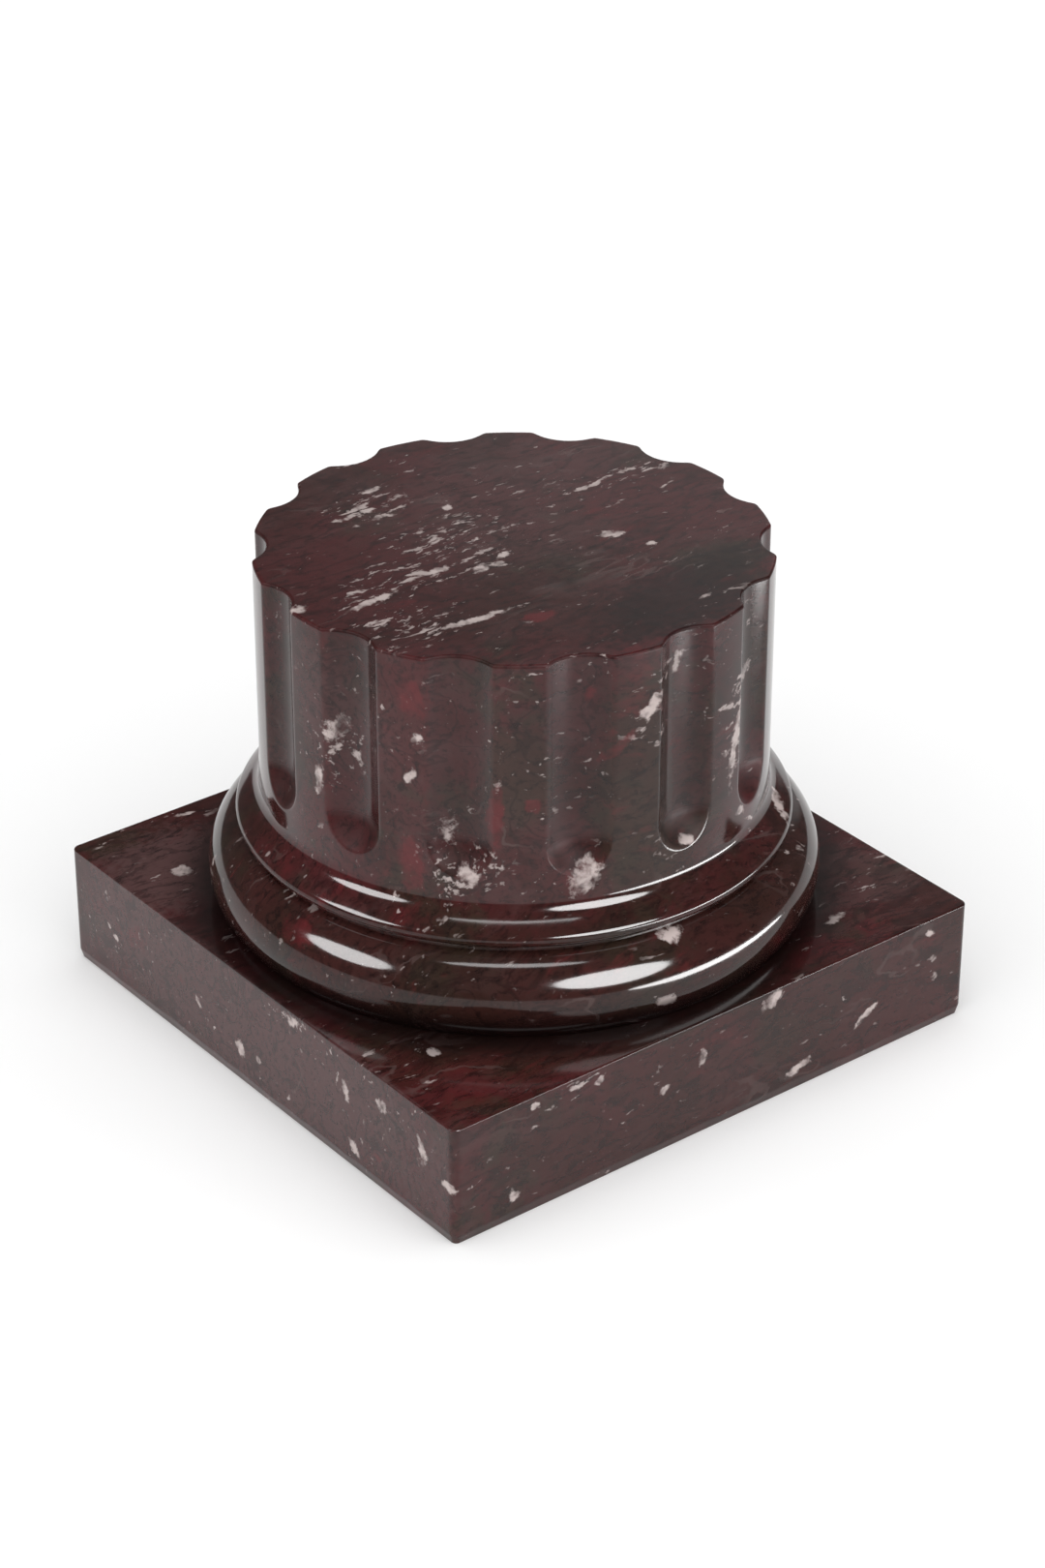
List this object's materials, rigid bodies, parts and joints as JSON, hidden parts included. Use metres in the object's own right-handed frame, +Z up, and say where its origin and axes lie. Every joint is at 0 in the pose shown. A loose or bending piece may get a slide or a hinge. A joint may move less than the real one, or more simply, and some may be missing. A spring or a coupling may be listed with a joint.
{
  "type": "marble sculpture pedestal",
  "caption": "Low polished marble pedestal: fluted column drum with ring and torus foot on a square plinth, flat top for a sculpture.",
  "frame": {"origin": "middle of the plinth's underside, on the surface the pedestal stands on", "axes": "+Z up, -Y out of the plinth's front face, +X to the right seen from the front"},
  "size_m": [0.25, 0.25, 0.1949],
  "materials": {
    "plinth_marble": "polished",
    "column_marble": "polished"
  },
  "bodies": {
    "root": {"Plinth": "plinth_marble", "Fluted_Column": "column_marble"}
  },
  "joints": []
}
